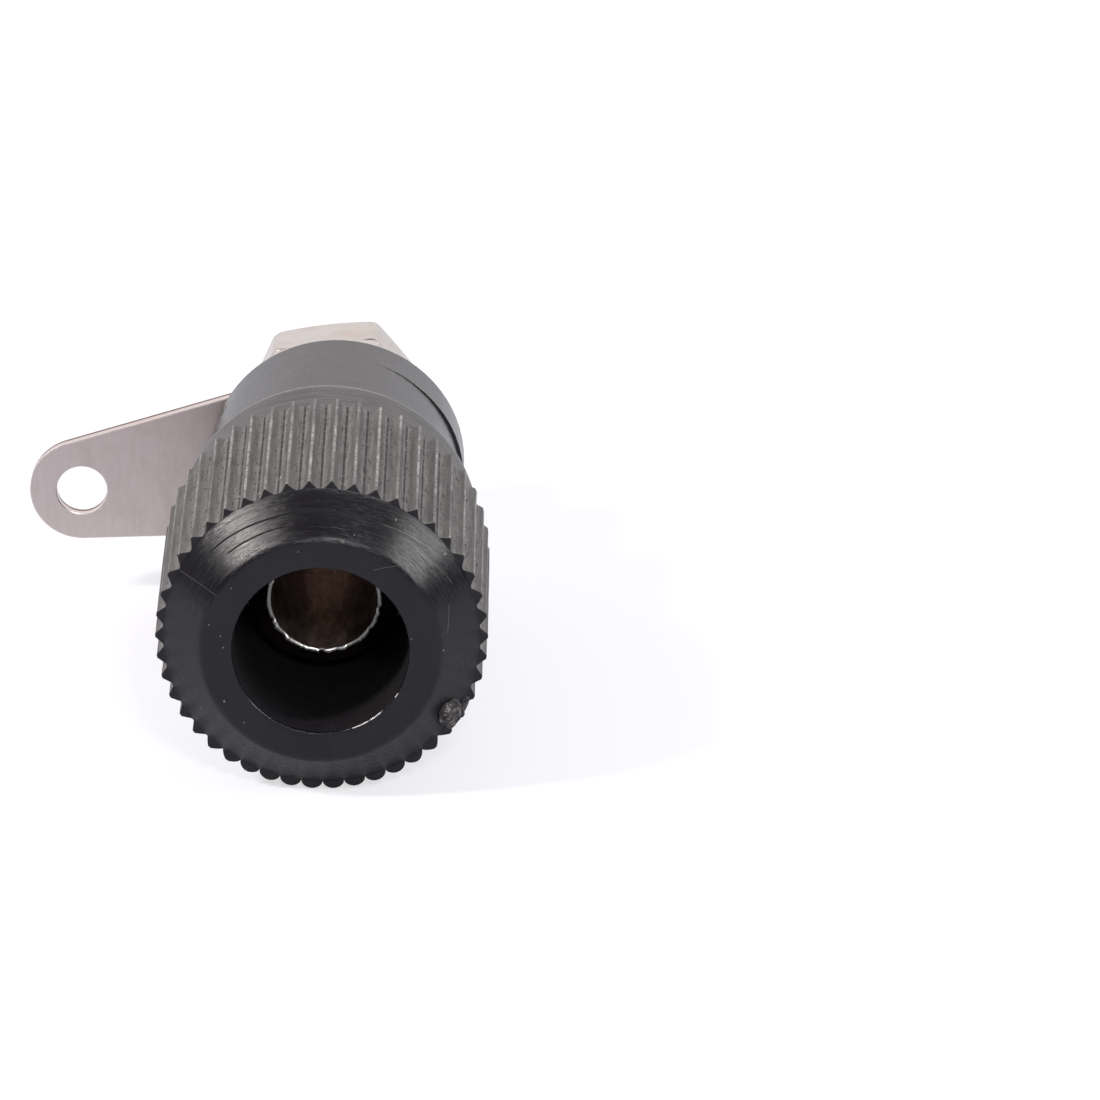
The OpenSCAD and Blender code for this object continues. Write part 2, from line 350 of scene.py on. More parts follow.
# ---------------------------------------------------------------- materials
def front_plastic():
    """Knob's turned front: satin black with turning marks, scratches, specks, and painted glints on the
    mouth's rim.
    """
    gouges = (
        ((112, 5.3), (138, 5.43)),
        ((86, 5.32), (112, 5.3)),
        ((106, 4.95), (131, 5.02)),
    )
    hairlines = (
        ((48, 4.6), (58, 3.84)),
        ((40, 5.52), (62, 5.3)),
        ((27, 5.4), (46, 5.18)),
        ((8, 4.77), (18, 5.01)),
        ((150, 4.5), (153, 5.8)),
        ((113, 5.12), (127, 5.2)),
        ((118, 4.8), (136, 4.86)),
    )
    # Painted glints on the mouth's rim: angle and radius at each end, and width.
    rim_glints = (
        ((-69, 3.33), (-59, 3.335), 0.02),
        ((-56, 3.335), (-49, 3.33), 0.024),
        ((-34, 3.335), (-31, 3.335), 0.022),
    )
    s = Shader("knob_front_plastic", IOR=1.5)
    angle, r = s.polar()
    rings = s.noise(s.vector(s.times(angle, 1.6), s.times(r, 9.0), s.y), 2.2, 5, 0.7)
    streaks = s.noise(s.vector(s.times(angle, 5.0), s.times(r, 26.0), 3.0), 2.0, 3, 0.6)
    cloud = s.noise(s.at, 0.55, 3)
    base = s.mix(s.band(cloud, 0.35, 0.7), (0.0032, 0.0024, 0.0046), (0.0058, 0.0048, 0.0078))
    base = s.mix(s.times(s.band(streaks, 0.6, 0.78), 0.4), base, (0.05, 0.047, 0.045))
    deep = 0.0
    for start, end in gouges:
        deep = s.math("MAXIMUM", s.scratch(angle, r, start, end, 0.035), deep)
    base = s.mix(deep, base, (0.001, 0.001, 0.001))
    for start, end in hairlines:
        base = s.mix(s.times(s.scratch(angle, r, start, end, 0.016), 0.35), base, (0.2, 0.19, 0.18))
    for size, scale in ((0.09, 2.4), (0.06, 1.1)):
        base = s.mix(s.times(s.specks(s.at, scale, size), 0.7), base, (0.25, 0.25, 0.25))
    front = s.band(s.y, FACE_Y + 0.12, FACE_Y + 0.07)
    # Painted glints: pale marks on the mouth's rim.
    for start, end, width in rim_glints:
        base = s.mix(s.times(s.scratch(angle, r, start, end, width), front), base, (0.6, 0.59, 0.58))
    s.color(base)
    s.roughness(s.math("MAXIMUM", s.band(rings, 0.3, 0.75, 0.15, 0.33), s.times(deep, 0.95)))
    s.bump(rings, 0.012, 0.6)
    s.bump(streaks, 0.016, 0.6)
    return s.material


def mouth_plastic():
    """Wall of the plug mouth: plain moulded black."""
    s = Shader("mouth_plastic", IOR=1.5)
    fine = s.noise(s.at, 5.0, 4, 0.6)
    s.color(s.mix(s.band(fine, 0.4, 0.7), (0.005, 0.004, 0.006), (0.008, 0.0068, 0.009)))
    s.roughness(s.band(fine, 0.3, 0.7, 0.5, 0.62))
    s.bump(fine, 0.003, 0.5)
    return s.material


def knurl_plastic():
    """Knurl: the same black greyed by a pale film and by painted sheen, paler towards the roots, with worn
    crests under painted highlight lines, lines along the teeth, and painted shade in the roots.
    """
    s = Shader("knurl_plastic", IOR=1.5)
    angle, _ = s.polar()
    turn = s.times(s.math("SUBTRACT", angle, FIRST_TOOTH), TEETH / TURN)
    # 0 on a tooth's crest and 0.5 in the root beside it
    tooth = s.math("ABSOLUTE", s.math("SUBTRACT", s.math("FRACT", s.math("ADD", turn, 0.5)), 0.5))
    lines = s.noise(s.vector(s.times(angle, 60.0), s.times(s.y, 0.55), 0.0), 1.0, 5, 0.7)
    broken = s.noise(s.vector(s.times(angle, 7.0), s.times(s.y, 2.2), 5.0), 1.0, 4, 0.75)
    grain = s.noise(s.at, 9.0, 5, 0.75)
    # Grey of the knurl: partly a pale film on the plastic, partly painted sheen.
    bloom_and_sheen = s.band(s.math("ADD", s.times(lines, 0.45), s.times(grain, 0.55)), 0.36, 0.64)
    near_crest = s.mix(bloom_and_sheen, (0.038, 0.0363, 0.0355), (0.143, 0.136, 0.131))
    near_root = s.mix(bloom_and_sheen, (0.085, 0.0815, 0.079), (0.265, 0.254, 0.246))
    # Paler towards the roots: painted light that lifts the shade in the grooves.
    base = s.mix(s.band(tooth, 0.14, 0.4), near_crest, near_root)

    each = s.vector(s.times(s.math("ROUND", turn), 3.7), s.times(s.y, 0.22), 2.0)
    # Pale crests: wear, with painted highlight lines along them.
    crest = s.times(s.band(tooth, 0.085, 0.045), s.band(grain, 0.4, 0.58, 0.15, 1.0))
    crest = s.times(crest, s.band(s.noise(each, 1.0, 2), 0.38, 0.6, 0.25, 1.0))
    base = s.mix(s.times(crest, s.band(broken, 0.35, 0.6, 0.35, 0.95)), base, (0.48, 0.46, 0.45))

    # Painted shade: dark lines in the roots, and a dark line that wanders beside them.
    root = s.times(s.band(tooth, 0.425, 0.47), s.band(broken, 0.36, 0.5, 0.35, 1.0))
    wander = s.noise(s.vector(s.times(angle, 4.0), s.times(s.y, 0.9), 9.0), 1.0, 2)
    beside = s.math("SUBTRACT", tooth, s.band(wander, 0.3, 0.7, 0.24, 0.42))
    beside = s.band(s.math("ABSOLUTE", beside), 0.035, 0.012)
    beside = s.times(beside, s.band(broken, 0.52, 0.58))
    base = s.mix(s.math("MAXIMUM", root, beside), base, (0.006, 0.006, 0.006))

    flakes = s.times(s.specks(s.stretch(1.0, 0.5, 1.0), 2.6, 0.1), s.band(tooth, 0.25, 0.35))
    base = s.mix(flakes, base, (0.6, 0.58, 0.56))
    pits = s.specks(s.stretch(1.0, 0.55, 1.0), 1.1, 0.09)
    s.color(s.mix(pits, base, (0.004, 0.004, 0.004)))
    s.roughness(s.band(grain, 0.3, 0.7, 0.5, 0.7))
    s.bump(lines, 0.04, 0.7)
    s.bump(grain, 0.025, 0.7)
    return s.material


def collar_plastic():
    """Knob's collar: dulled like the knurl but smoother, streaked round the axis, with a painted highlight on
    its rear rim.
    """
    s = Shader("collar_plastic", IOR=1.5)
    angle, _ = s.polar()
    fine = s.noise(s.at, 8.0, 4, 0.7)
    marks = s.noise(s.vector(s.times(angle, 2.5), s.times(s.y, 11.0), 1.0), 1.0, 5, 0.7)
    base = s.mix(s.band(marks, 0.4, 0.62), (0.02, 0.019, 0.0187), (0.1, 0.095, 0.092))
    base = s.mix(s.times(s.band(fine, 0.5, 0.72), 0.4), base, (0.1, 0.096, 0.094))
    # Painted highlight: a pale line along the rear rim.
    rim = s.band(s.y, KNOB_REAR_Y - COLLAR_ROUND - 0.1, KNOB_REAR_Y - COLLAR_ROUND)
    rim = s.times(rim, s.band(fine, 0.3, 0.6, 0.35, 0.9))
    s.color(s.mix(rim, base, (0.32, 0.31, 0.305)))
    s.roughness(s.band(fine, 0.3, 0.7, 0.4, 0.52))
    s.bump(fine, 0.01, 0.6)
    s.bump(marks, 0.016, 0.6)
    return s.material


def bushing_plastic():
    """Bushings: smooth satin black with a faint cloudiness, and tan on the rear rim."""
    s = Shader("bushing_plastic", IOR=1.5)
    fine = s.noise(s.at, 6.0, 4, 0.6)
    cloud = s.noise(s.at, 0.6, 3)
    base = s.mix(s.band(cloud, 0.35, 0.7), (0.025, 0.0235, 0.0245), (0.036, 0.0335, 0.0345))
    base = s.mix(s.times(s.band(fine, 0.55, 0.75), 0.4), base, (0.07, 0.067, 0.068))
    rear_rim = s.band(s.y, BUSHING_REAR_Y - 0.12, BUSHING_REAR_Y - 0.04, 0, 0.8)
    s.color(s.mix(rear_rim, base, (0.2, 0.15, 0.115)))
    s.roughness(s.band(fine, 0.3, 0.7, 0.26, 0.34))
    s.bump(fine, 0.004, 0.5)
    return s.material


def torn_plastic():
    """The gate's torn stub: rough, with painted highlights on its crests."""
    s = Shader("torn_plastic", IOR=1.5)
    coarse = s.noise(s.at, 5.5, 5, 0.7)
    base = s.mix(s.band(coarse, 0.4, 0.54), (0.006, 0.005, 0.006), (0.07, 0.063, 0.063))
    # Painted highlight: pale where the bump's noise is high, on the torn crests.
    s.color(s.mix(s.band(coarse, 0.55, 0.66), base, (0.45, 0.42, 0.41)))
    s.roughness(s.band(coarse, 0.3, 0.7, 0.35, 0.6))
    s.bump(coarse, 0.1, 0.9)
    return s.material


def lug_metal():
    """Plated sheet with a fine grain across it and faint stains, and brown where its edges broke off."""
    s = Shader("lug_metal", Metallic=1.0)
    grain = s.noise(s.stretch(6.0, 9.0, 0.9), 1.0, 5, 0.65)
    stain = s.noise(s.at, 0.9, 5, 0.65)
    base = s.mix(s.band(grain, 0.3, 0.7), (0.645, 0.575, 0.56), (0.685, 0.615, 0.6))
    base = s.mix(s.times(s.band(stain, 0.45, 0.7), 0.7), base, (0.605, 0.53, 0.505))
    sheared = s.window(s.y, LUG_Y + 0.3, LUG_Y + LUG_T - 0.03, 0.02)
    s.color(s.mix(sheared, base, (0.2, 0.14, 0.115)))
    s.roughness(s.band(stain, 0.3, 0.7, 0.38, 0.5))
    s.bump(grain, 0.003, 0.5)
    return s.material


def bore_metal():
    """Bare bore wall: tarnished brown, with a paler band at its top and bottom that is a painted reflection.
    """
    s = Shader("bore_metal", Metallic=1.0)
    wall = s.noise(s.stretch(3.0, 0.8, 3.0), 1.0, 5, 0.7)
    patchy = s.band(wall, 0.35, 0.65)
    # Painted reflection: a paler band along the bore where x is near zero.
    reflection_band = s.band(s.math("ABSOLUTE", s.math("SUBTRACT", s.x, 0.1)), 1.25, 0.55)
    dull = s.mix(patchy, (0.425, 0.34, 0.325), (0.62, 0.51, 0.485))
    reflected_color = s.mix(patchy, (0.62, 0.5, 0.425), (0.95, 0.8, 0.7))
    s.color(s.mix(reflection_band, dull, reflected_color))
    s.roughness(s.band(wall, 0.3, 0.7, 0.36, 0.5))
    s.bump(wall, 0.01, 0.5)
    return s.material


def metal(name, dark, light, rough, stretch, tint=None):
    """Metal between two colours, with a grain that runs where it is stretched least, and a tint in clouds."""
    s = Shader(name, Metallic=1.0)
    grain = s.noise(s.stretch(*stretch), 1.0, 5, 0.65)
    cloud = s.noise(s.at, 0.7, 3)
    base = s.mix(s.band(grain, 0.3, 0.7), dark, light)
    if tint:
        base = s.mix(s.times(s.band(cloud, 0.45, 0.75), 0.6), base, tint)
    s.color(base)
    s.roughness(s.band(cloud, 0.3, 0.7, rough - 0.05, rough + 0.06))
    s.bump(grain, 0.004, 0.5)
    return s.material


MAT_FRONT = front_plastic()
MAT_MOUTH = mouth_plastic()
MAT_KNURL = knurl_plastic()
MAT_COLLAR = collar_plastic()
MAT_BUSHING = bushing_plastic()
MAT_TORN = torn_plastic()
MAT_LUG = lug_metal()
MAT_NUT = metal("nut_metal", (0.52, 0.485, 0.455), (0.58, 0.545, 0.515), 0.34, (2, 8, 2), (0.55, 0.47, 0.4))
MAT_POST = metal("post_metal", (0.5, 0.47, 0.43), (0.72, 0.69, 0.65), 0.32, (3, 12, 3), (0.55, 0.47, 0.38))
# Dark metal for the lead-in and first thread turns: painted shade inside the mouth.
MAT_PAINTED_SHADE = metal("painted_shade_metal", (0.05, 0.035, 0.03), (0.12, 0.085, 0.07), 0.5, (4, 4, 4))
MAT_BORE = bore_metal()
MAT_RIM = metal("torn_rim_metal", (0.93, 0.91, 0.88), (1.0, 0.99, 0.97), 0.45, (9, 9, 9))
MAT_INSERT = metal("insert_brass", (0.55, 0.4, 0.2), (0.72, 0.56, 0.3), 0.38, (3, 9, 3))


# ---------------------------------------------------------------- knob
def knurl_radius(theta):
    """Outline of the knurl: blunted V teeth, with hollow flanks on the knob's top and full ones below."""
    turn = (theta - FIRST_TOOTH) * TEETH / TURN
    u = np.abs(turn - np.round(turn)) * 2
    vee = np.clip(1 - (u - 0.17) / 0.8, 0, 1)
    vee = vee - 0.1 * smooth(0.85, 1.0, vee) * (1 - vee)
    hollow = (1 - np.clip((u - 0.06) / 0.92, 0, 1)) ** 2
    full = 0.15 + 0.85 * np.sqrt(np.clip(1 - (u / 0.985) ** 2.6, 0, 1))
    above = 0.8 * smooth(math.radians(66), math.radians(38), apart(theta, 88))
    below = 0.85 * smooth(math.radians(58), math.radians(24), apart(theta, 272))
    return ROOT_R + TOOTH_DEPTH * (vee * (1 - above - below) + hollow * above + full * below)


def sink(theta, r):
    """Depth of the hollow that the moulding has on the inner side of its gate."""
    beside = (theta - GATE_ANGLE + math.pi) % TURN - math.pi
    away = ((beside - 0.03) * r / 0.55) ** 2 + ((r - 5.2) / 0.3) ** 2
    return 0.14 * np.exp(-away)


def knob():
    """The knob's whole moulding as one closed skin, from the mouth round the outside to the insert's seat."""
    half_tooth = np.array([0.04, 0.085, 0.115, 0.2, 0.3, 0.4, 0.46])
    steps = np.concatenate([[-0.5], -half_tooth[::-1], [0.0], half_tooth])
    theta = FIRST_TOOTH + ((np.arange(TEETH)[:, None] + steps[None, :]) / TEETH * TURN).ravel()
    outline = knurl_radius(theta)

    mouth = [(MOUTH_R, INSERT_FRONT_Y)]
    mouth += line(mouth[-1], (MOUTH_R, FACE_Y + MOUTH_EDGE), 5)

    front = arc_ring(MOUTH_R + MOUTH_EDGE, FACE_Y + MOUTH_EDGE, MOUTH_EDGE, 180, 270, 3)
    front += line((MOUTH_R + MOUTH_EDGE, FACE_Y), (FACE_R, FACE_Y), 5)
    front += arc_ring(FACE_R, FACE_Y + FACE_ROUND, FACE_ROUND, -90, -45, 5)
    chamfer = line((BLEND_R, FACE_Y + BLEND_DEPTH), (CHAMFER_R - 0.02, CHAMFER_Y - 0.02), 14)
    front += [(r, y + sink(theta, r)) for r, y in chamfer]
    front += [(CHAMFER_R, CHAMFER_Y - 0.008), (CHAMFER_R, CHAMFER_Y)]
    front += [(CHAMFER_R + (outline - CHAMFER_R) * t, CHAMFER_Y) for t in (0.5, 0.93)]
    front += [(outline, CHAMFER_Y + 0.022)]

    knurl = []
    nick = waves(3, theta * 40, count=12, low=0.4, high=1.6)
    proud = smooth(ROOT_R + 0.5 * TOOTH_DEPTH, TIP_R, outline)
    for y in np.linspace(CHAMFER_Y + 0.1, KNURL_REAR_Y - 0.12, 20):
        worn = waves(11, theta * 30, y * 1.7, count=16, low=0.5, high=2.4)
        knurl.append((outline + 0.012 * (worn - 0.6) * proud + 0.006 * nick * (1 - proud), y))
    knurl += [(outline - 0.03 * smooth(ROOT_R, TIP_R, outline), KNURL_REAR_Y - 0.03)]
    knurl += [(COLLAR_R + (outline - COLLAR_R) * t, KNURL_REAR_Y) for t in (0.8, 0.3)]
    knurl += [(COLLAR_R, KNURL_REAR_Y + 0.02)]

    round_y = KNOB_REAR_Y - COLLAR_ROUND
    collar = line((COLLAR_R, KNURL_REAR_Y + 0.02), (COLLAR_R, round_y), 5)
    collar += arc_ring(COLLAR_R - COLLAR_ROUND, round_y, COLLAR_ROUND, 0, 90, 3)

    room = line((COLLAR_R - COLLAR_ROUND, KNOB_REAR_Y), (REAR_ROOM_R, KNOB_REAR_Y), 3)
    room += line((REAR_ROOM_R, KNOB_REAR_Y), (REAR_ROOM_R, INSERT_REAR_Y), 2)
    room += [(INSERT_R + 0.03, INSERT_REAR_Y), (INSERT_R + 0.03, INSERT_FRONT_Y)]

    points, faces, owner = turned(mouth + front + knurl + collar + room, theta, closed=True)
    mouth_to, front_to, knurl_to, collar_to = np.cumsum([len(mouth), len(front), len(knurl), len(collar)])
    where = [owner < mouth_to - 1, owner < front_to - 1, owner < knurl_to - 1, owner < collar_to]
    index = np.select(where, [3, 0, 1, 2], 0)
    materials = [MAT_FRONT, MAT_KNURL, MAT_COLLAR, MAT_MOUTH]
    made = mesh_piece("knob_moulding", points, faces, "knob_body", materials, 38, index)
    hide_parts("knob")


def torn_lump(seed, radius, y, lean, size):
    """An irregular lump on the gate's side of the knob, its sizes along the edge, across it and outwards.
    It leans forward from the radial direction by an angle."""
    bm = bmesh.new()
    bmesh.ops.create_icosphere(bm, subdivisions=5, radius=1.0)
    co = np.array([v.co for v in bm.verts])
    faces = [[v.index for v in f.verts] for f in bm.faces]
    bm.free()
    coarse = waves(seed, *(co.T * 1.3), count=14, low=1.2, high=6.0)
    fine = waves(seed + 1, *(co.T * 4.5), count=18, low=1.5, high=7.0)
    co = co * (1 + 0.15 * coarse + 0.08 * fine)[:, None] * np.array(size)
    cos_g, sin_g = math.cos(GATE_ANGLE), math.sin(GATE_ANGLE)
    along = Vector((-sin_g, 0, cos_g))
    outward = Vector((cos_g, -math.tan(lean), sin_g)).normalized()
    across = outward.cross(along)
    centre = Vector((radius * cos_g, y, radius * sin_g))
    return [tuple(centre + along * c[0] + across * c[1] + outward * c[2]) for c in co], faces


def gate_vestige():
    """What is left of the gate on the chamfer's outer edge: a torn lump, and a flash in the notches."""
    points, faces = torn_lump(21, 5.57, CHAMFER_Y - 0.26, math.radians(45), (0.58, 0.46, 0.35))
    flash, flash_faces = torn_lump(27, 5.88, CHAMFER_Y + 0.18, 0.0, (0.95, 0.4, 0.3))
    faces += [[len(points) + i for i in f] for f in flash_faces]
    points += flash
    mesh_piece("gate_vestige", points, faces, "knob_body", [MAT_TORN], 50)


# ---------------------------------------------------------------- post and insert
def cut_across(obj, radius, y):
    """Cuts a hole of that radius along X through obj, at y, in mm."""
    n = 40
    ring = [(radius * math.cos(a), radius * math.sin(a)) for a in even(n)]
    points = [(x, y + v, u) for x in (-5.0, 5.0) for u, v in ring]
    faces = [[i, (i + 1) % n, n + (i + 1) % n, n + i] for i in range(n)]
    faces += [list(range(n))[::-1], list(range(n, 2 * n))]
    mesh = bpy.data.meshes.new("drill")
    mesh.from_pydata((np.array(points) * MM).tolist(), [], faces)
    face_outwards(mesh)
    drill = bpy.data.objects.new("drill", mesh)
    bpy.context.scene.collection.objects.link(drill)
    modifier = obj.modifiers.new("cross_hole", "BOOLEAN")
    modifier.operation, modifier.solver, modifier.object = "DIFFERENCE", "EXACT", drill
    bpy.context.view_layer.update()
    cut = bpy.data.meshes.new_from_object(obj.evaluated_get(bpy.context.evaluated_depsgraph_get()))
    obj.modifiers.clear()
    obj.data = cut
    bpy.data.objects.remove(drill)


def post():
    """The post in one turned skin: bore, front thread, flange with two flats, shank and threaded stud."""
    theta = even(128)
    bevel = 0.06
    bore_end = POST_FRONT_Y + BORE_DEPTH
    drill_tip = bore_end + BORE_R / math.tan(math.radians(59))
    rings = [(0, drill_tip), (BORE_R / 2, bore_end + 0.6), (BORE_R, bore_end)]
    rings += line((BORE_R, bore_end), (BORE_R, POST_FRONT_Y + bevel), 12)
    bore_rings = len(rings)
    rings += [(BORE_R + bevel, POST_FRONT_Y), (POST_RIM_R, POST_FRONT_Y)]
    # Up to here the post gets the dark metal, painted shade for the inside of the mouth.
    shade_painted_rings = len(rings) + 18

    thread_depth, neck_r, neck_y = 0.55, 2.6, BUSHING_FRONT_Y - 0.6
    for y in np.arange(POST_FRONT_Y + 0.02, neck_y, POST_PITCH / 14):
        lead = POST_RIM_R + (y - POST_FRONT_Y)
        rings.append((np.minimum(thread(POST_THREAD_R, POST_PITCH, y, theta, thread_depth), lead), y))
    rings += [(neck_r, neck_y), (neck_r, BUSHING_FRONT_Y)]

    flange_r, flat_r, flange_rear_y = 4.0, 3.5, BUSHING_FRONT_Y + 1.2
    flange = np.minimum(flange_r, flat_r / np.maximum(np.abs(np.sin(theta)), 1e-6))
    rings += [(flange - bevel, BUSHING_FRONT_Y + 0.001), (flange, BUSHING_FRONT_Y + bevel)]
    rings += [(flange, flange_rear_y), (POST_THREAD_R, flange_rear_y + 0.01)]

    shank_end_y, stud_thread_y, stud_chamfer = -0.8, 0.5, 0.4
    rings += [(POST_THREAD_R, shank_end_y - 0.05), (STUD_R, shank_end_y), (STUD_R, stud_thread_y - 0.1)]
    for y in np.arange(stud_thread_y, STUD_END_Y - 0.02, STUD_PITCH / 12):
        lead = STUD_R - max(0.0, y - (STUD_END_Y - stud_chamfer))
        rings.append((np.minimum(thread(STUD_R, STUD_PITCH, y, theta, STUD_THREAD_DEPTH), lead), y))
    rings += [(1.5, STUD_END_Y), (1.0, STUD_END_Y), (0, STUD_END_Y)]

    points, faces, owner = turned(rings, theta)
    index = np.select([owner < bore_rings - 1, owner < shade_painted_rings], [1, 2], 0)
    materials = [MAT_POST, MAT_BORE, MAT_PAINTED_SHADE]
    made = mesh_piece("threaded_post", points, faces, "post_body", materials, 40, index)
    cut_across(made, WIRE_HOLE_R, WIRE_HOLE_Y)
    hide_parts("post")


def torn_rim():
    """The ragged bright edge that the lead-in leaves round the bore."""
    theta = even(300)
    wobble = waves(31, theta * 9, count=12, low=0.5, high=4.0)
    ragged = waves(32, theta * 22, count=16, low=0.4, high=3.0)
    width = np.clip(0.17 + 0.04 * wobble + 0.05 * ragged, 0.07, 0.26)
    height = np.clip(0.07 + 0.03 * wobble + 0.04 * ragged, 0.02, 0.14)
    inner = BORE_R + 0.01 + 0.012 * ragged
    rings = []
    for a in even(9):
        r = inner + width / 2 - width / 2 * math.cos(a)
        rings.append((r, POST_FRONT_Y + 0.03 - height * math.sin(a)))
    points, faces, _ = turned(rings, theta, closed=True)
    mesh_piece("torn_rim", points, faces, "post_body", [MAT_RIM], 30)


def insert():
    """The knob's brass insert: two grooves that hold it in the plastic, and the thread for the post."""
    theta = even(96)
    edge, groove_depth, half_groove, slope, entry_r = 0.08, 0.3, 0.3, 0.02, 3.2
    groove_r = INSERT_R - groove_depth
    thread_depth, play = 0.5, 0.05
    rings = [(INSERT_R - edge, INSERT_FRONT_Y), (INSERT_R, INSERT_FRONT_Y + edge)]
    spacing = (INSERT_REAR_Y - INSERT_FRONT_Y) / 3
    for k in (1, 2):
        y = INSERT_FRONT_Y + k * spacing
        rings += [(INSERT_R, y - half_groove), (groove_r, y - half_groove + slope)]
        rings += [(groove_r, y + half_groove - slope), (INSERT_R, y + half_groove)]
    rings += [(INSERT_R, INSERT_REAR_Y - edge), (INSERT_R - edge, INSERT_REAR_Y), (entry_r, INSERT_REAR_Y)]
    for y in np.arange(INSERT_REAR_Y - 0.05, INSERT_FRONT_Y + 0.04, -POST_PITCH / 12):
        rings.append((thread(POST_THREAD_R, POST_PITCH, y, theta, thread_depth) + play, y))
    rings += [(entry_r, INSERT_FRONT_Y)]
    points, faces, _ = turned(rings, theta, closed=True)
    made = mesh_piece("threaded_insert", points, faces, "insert_body", [MAT_INSERT], 40)
    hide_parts("knob_insert")


# ---------------------------------------------------------------- nuts, washer and lug
def nut(node, seed, front, rear):
    """A hex nut with a threaded bore. Each end's chamfer starts at that share of the flats' radius."""
    low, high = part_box(node)
    y0, y1 = low.y / MM, high.y / MM
    flat_r, turn, sector = 3.5, math.radians(7), math.pi / 3
    face_radii, blunt, play = (2.1, 2.7, 3.2), 0.07, 0.045
    theta = even(180)
    local = (theta - math.pi / 2 - turn + sector / 2) % sector - sector / 2
    hexagon = flat_r / np.cos(local)
    corner_r = flat_r / math.cos(sector / 2)
    corner = np.minimum(hexagon, corner_r - blunt - 0.02 * waves(seed, theta * 3))

    def side(depth, start):
        """The smaller of the hexagon and the chamfer's cone, rounded where they meet."""
        cone = flat_r * start + depth / math.tan(math.radians(30))
        sharpness = 26.0
        return -np.log(np.exp(-sharpness * corner) + np.exp(-sharpness * cone)) / sharpness

    depths = np.concatenate([np.linspace(0, 0.5, 12), [0.75, 0.95, 1.1]])
    rings = [(r, y0) for r in face_radii]
    rings += [(side(d, front), y0 + d) for d in depths]
    rings += [(side(d, rear), y1 - d) for d in depths[-2::-1]]
    rings += [(r, y1) for r in reversed(face_radii)]
    for y in np.arange(y1 - 0.06, y0 + 0.05, -STUD_PITCH / 10):
        rings.append((thread(STUD_R, STUD_PITCH, y, theta, STUD_THREAD_DEPTH) + play, y))
    points, faces, _ = turned(rings, theta, closed=True)
    made = mesh_piece(node + "_hex", points, faces, "post_body", [MAT_NUT], 32)
    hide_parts(node)


def washer():
    """A blanked flat washer: one edge rolled, the other with a slight burr."""
    low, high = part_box("flat_washer")
    y0, y1, r0, r1 = low.y / MM, high.y / MM, 2.2, high.x / MM
    theta = even(120)
    rough = r1 + np.minimum(0.012 * waves(51, theta * 14, count=12, low=0.5, high=3.0), 0)
    rings = [(r0 + 0.06, y0), (r1 - 0.1, y0), (r1 - 0.03, y0 + 0.03), (rough, y0 + 0.1)]
    rings += [(r1, y0 + 0.3), (rough, y1 - 0.03), (r1 - 0.04, y1), (r0 + 0.05, y1)]
    rings += [(r0, y1 - 0.05), (r0, y0 + 0.06)]
    points, faces, _ = turned(rings, theta, closed=True)
    made = mesh_piece("blanked_washer", points, faces, "post_body", [MAT_NUT], 40)
    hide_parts("flat_washer")


def loop_2d(points, inset):
    """A closed 2D loop moved to its left by inset, along its own normals."""
    p = np.array(points)
    along = np.roll(p, -1, 0) - np.roll(p, 1, 0)
    along /= np.linalg.norm(along, axis=1)[:, None]
    return p + inset * np.stack([-along[:, 1], along[:, 0]], 1)


def filled(points, rims, in_hole):
    """Triangles between rims, which are rows of point numbers in one plane across Y. `in_hole` tells for a
    triangle's middle (x, z) whether it is to be left out."""
    ids = [i for rim in rims for i in rim]
    flat = [Vector((points[i][0], points[i][2])) for i in ids]
    edges, start = [], 0
    for n in map(len, rims):
        edges += [(start + i, start + (i + 1) % n) for i in range(n)]
        start += n
    _, _, triangles, origin, _, _ = geometry.delaunay_2d_cdt(flat, edges, [], 0, 1e-7)
    faces = []
    for triangle in triangles:
        corners = [origin[i][0] for i in triangle]
        middle = sum((flat[i] for i in corners), Vector((0, 0))) / 3
        if not in_hole(*middle):
            faces.append([ids[i] for i in corners])
    return faces


def lug():
    """Blanked sheet with a rolled edge, an eye round the stud and a wire hole."""
    reach, eye_r, tip_r, hole_r, stud_r, soft = 10.15, 3.4, 2.05, 1.0, 2.2, 0.04
    lean = math.acos((eye_r - tip_r) / reach)
    droop = math.radians(180 + 9.3)
    cos_d, sin_d = math.cos(droop), math.sin(droop)

    def arc(x, r, a0, a1, steps):
        return [(x + r * math.cos(a), r * math.sin(a)) for a in np.linspace(a0, a1, steps)]

    def in_hole(x, z):
        u, v = x * cos_d + z * sin_d, z * cos_d - x * sin_d
        return math.hypot(u, v) < stud_r + soft or math.hypot(u - reach, v) < hole_r + soft

    outer = arc(0, eye_r, lean, TURN - lean, 90) + arc(reach, tip_r, -lean, lean, 60)
    eye = arc(0, stud_r, TURN, 0, 73)[:-1]
    hole = arc(reach, hole_r, TURN, 0, 73)[:-1]
    edge = [(0.0, soft), (0.3, soft * 0.3), (0.7, soft * 0.5), (1.0, 0.0)]
    levels = [(LUG_Y + soft * a, inset) for a, inset in edge]
    levels += [(LUG_Y + LUG_T - soft * a, inset) for a, inset in reversed(edge)]
    points, faces, fronts, backs = [], [], [], []
    for loop in (outer, eye, hole):
        rows, n = [], len(loop)
        for y, inset in levels:
            rows.append(range(len(points), len(points) + n))
            points += [(x * cos_d - z * sin_d, y, x * sin_d + z * cos_d) for x, z in loop_2d(loop, inset)]
        for a, b in zip(rows, rows[1:]):
            faces += [[a[i], a[(i + 1) % n], b[(i + 1) % n], b[i]] for i in range(n)]
        fronts.append(rows[0])
        backs.append(rows[-1])
    faces += filled(points, fronts, in_hole) + filled(points, backs, in_hole)
    made = mesh_piece("blanked_lug", points, faces, "post_body", [MAT_LUG], 50)
    face_outwards(made.data)
    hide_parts("solder_lug")


